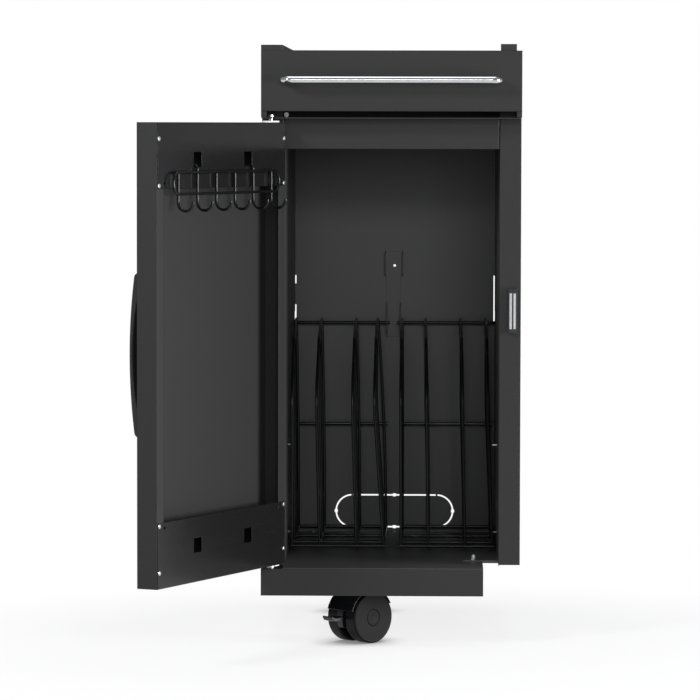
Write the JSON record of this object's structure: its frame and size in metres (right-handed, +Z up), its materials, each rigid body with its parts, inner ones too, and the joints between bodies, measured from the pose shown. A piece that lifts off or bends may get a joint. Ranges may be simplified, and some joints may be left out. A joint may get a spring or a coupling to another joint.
{
  "type": "outdoor kitchen storage cart",
  "caption": "Narrow black steel storage cart for an outdoor kitchen, with a swing door, hanging wire racks, a tool rack, a towel bar and twin-wheel casters.",
  "frame": {"origin": "on the floor, midway between the cabinet's sides, in the plane of the cabinet's front face", "axes": "+X to the cabinet's right as seen from the front, +Y to its back, +Z up"},
  "size_m": [0.578, 0.9087, 0.929],
  "materials": {
    "body_paint": "black powder coat with a fine texture",
    "liner_paint": "smooth satin black paint",
    "wire_coat": "glossy black coating",
    "bar_chrome": "polished",
    "zinc": "bright zinc plating",
    "nylon": "white nylon",
    "black_plastic": "black moulded plastic",
    "handle_plastic": "smooth black plastic",
    "tread": "black polyurethane"
  },
  "bodies": {
    "cabinet": {"base_plinth": "body_paint", "floor_pan": "liner_paint", "left_side_panel": "body_paint", "right_side_panel": "body_paint", "left_side_liner": "liner_paint", "right_side_liner": "liner_paint", "back_panel": "liner_paint", "deck": "body_paint", "header_panel": "liner_paint", "recess_panel": "liner_paint", "left_top_wall": "body_paint", "right_top_wall": "body_paint", "joining_tab": "body_paint", "fascia": "body_paint", "towel_bar": "bar_chrome", "corner_bracket": "body_paint", "bracket_bolt": "zinc", "screws": "zinc", "rack_pegs": "zinc", "hanger_bracket": "body_paint", "magnet_case": "black_plastic", "magnet_strips": "zinc", "hinge_pins": "zinc", "caster_bolts": "zinc", "front_caster_plate": "zinc", "rear_caster_plate": "zinc"},
    "door": {"door_panel": "body_paint", "door_bushes": "nylon", "door_top_brace": "body_paint", "door_bottom_brace": "body_paint", "door_rivets": "zinc", "door_handle": "handle_plastic", "handle_screws": "zinc"},
    "tool_rack": {"tool_rack": "wire_coat"},
    "left_rack": {"left_rack": "wire_coat"},
    "right_rack": {"right_rack": "wire_coat"},
    "front_caster": {"front_caster_body": "black_plastic", "front_caster_axle": "zinc", "front_brake_pin": "zinc"},
    "front_left_wheel": {"front_left_wheel": "tread"},
    "front_right_wheel": {"front_right_wheel": "tread"},
    "front_brake": {"front_brake_pedal": "black_plastic"},
    "rear_caster": {"rear_caster_body": "black_plastic", "rear_caster_axle": "zinc", "rear_brake_pin": "zinc"},
    "rear_left_wheel": {"rear_left_wheel": "tread"},
    "rear_right_wheel": {"rear_right_wheel": "tread"},
    "rear_brake": {"rear_brake_pedal": "black_plastic"}
  },
  "joints": [
    {"name": "door_hinge", "type": "hinge", "parent": "cabinet", "child": "door", "pos_m": [-0.1855, 0.0161, 0.4681], "axis": [0, 0, -1], "range_deg": [-115.5, 54.5]},
    {"name": "tool_rack_lift", "type": "slide", "parent": "door", "child": "tool_rack", "axis": [0, 0, 1], "range_m": [0, 0.014]},
    {"name": "left_rack_lift", "type": "slide", "parent": "cabinet", "child": "left_rack", "axis": [0, 0, 1], "range_m": [0, 0.012]},
    {"name": "right_rack_lift", "type": "slide", "parent": "cabinet", "child": "right_rack", "axis": [0, 0, 1], "range_m": [0, 0.012]},
    {"name": "front_swivel", "type": "hinge", "parent": "cabinet", "child": "front_caster", "pos_m": [-0.0295, 0.092, 0.1], "axis": [0, 0, 1], "continuous": true},
    {"name": "front_left_wheel_spin", "type": "hinge", "parent": "front_caster", "child": "front_left_wheel", "pos_m": [-0.06143, 0.08783, 0.04], "axis": [0.6896, -0.7242, 0], "continuous": true},
    {"name": "front_right_wheel_spin", "type": "hinge", "parent": "front_caster", "child": "front_right_wheel", "pos_m": [-0.03523, 0.06031, 0.04], "axis": [0.6896, -0.7242, 0], "continuous": true},
    {"name": "front_brake_press", "type": "hinge", "parent": "front_caster", "child": "front_brake", "pos_m": [-0.07005, 0.05338, 0.043], "axis": [0.6896, -0.7242, 0], "range_deg": [0, 15]},
    {"name": "rear_swivel", "type": "hinge", "parent": "cabinet", "child": "rear_caster", "pos_m": [-0.0295, 0.468, 0.1], "axis": [0, 0, 1], "continuous": true},
    {"name": "rear_left_wheel_spin", "type": "hinge", "parent": "rear_caster", "child": "rear_left_wheel", "pos_m": [-0.0584, 0.4822, 0.04], "axis": [0.1736, -0.9848, 0], "continuous": true},
    {"name": "rear_right_wheel_spin", "type": "hinge", "parent": "rear_caster", "child": "rear_right_wheel", "pos_m": [-0.05181, 0.44477, 0.04], "axis": [0.1736, -0.9848, 0], "continuous": true},
    {"name": "rear_brake_press", "type": "hinge", "parent": "rear_caster", "child": "rear_brake", "pos_m": [-0.08465, 0.45828, 0.043], "axis": [0.1736, -0.9848, 0], "range_deg": [0, 15]}
  ]
}
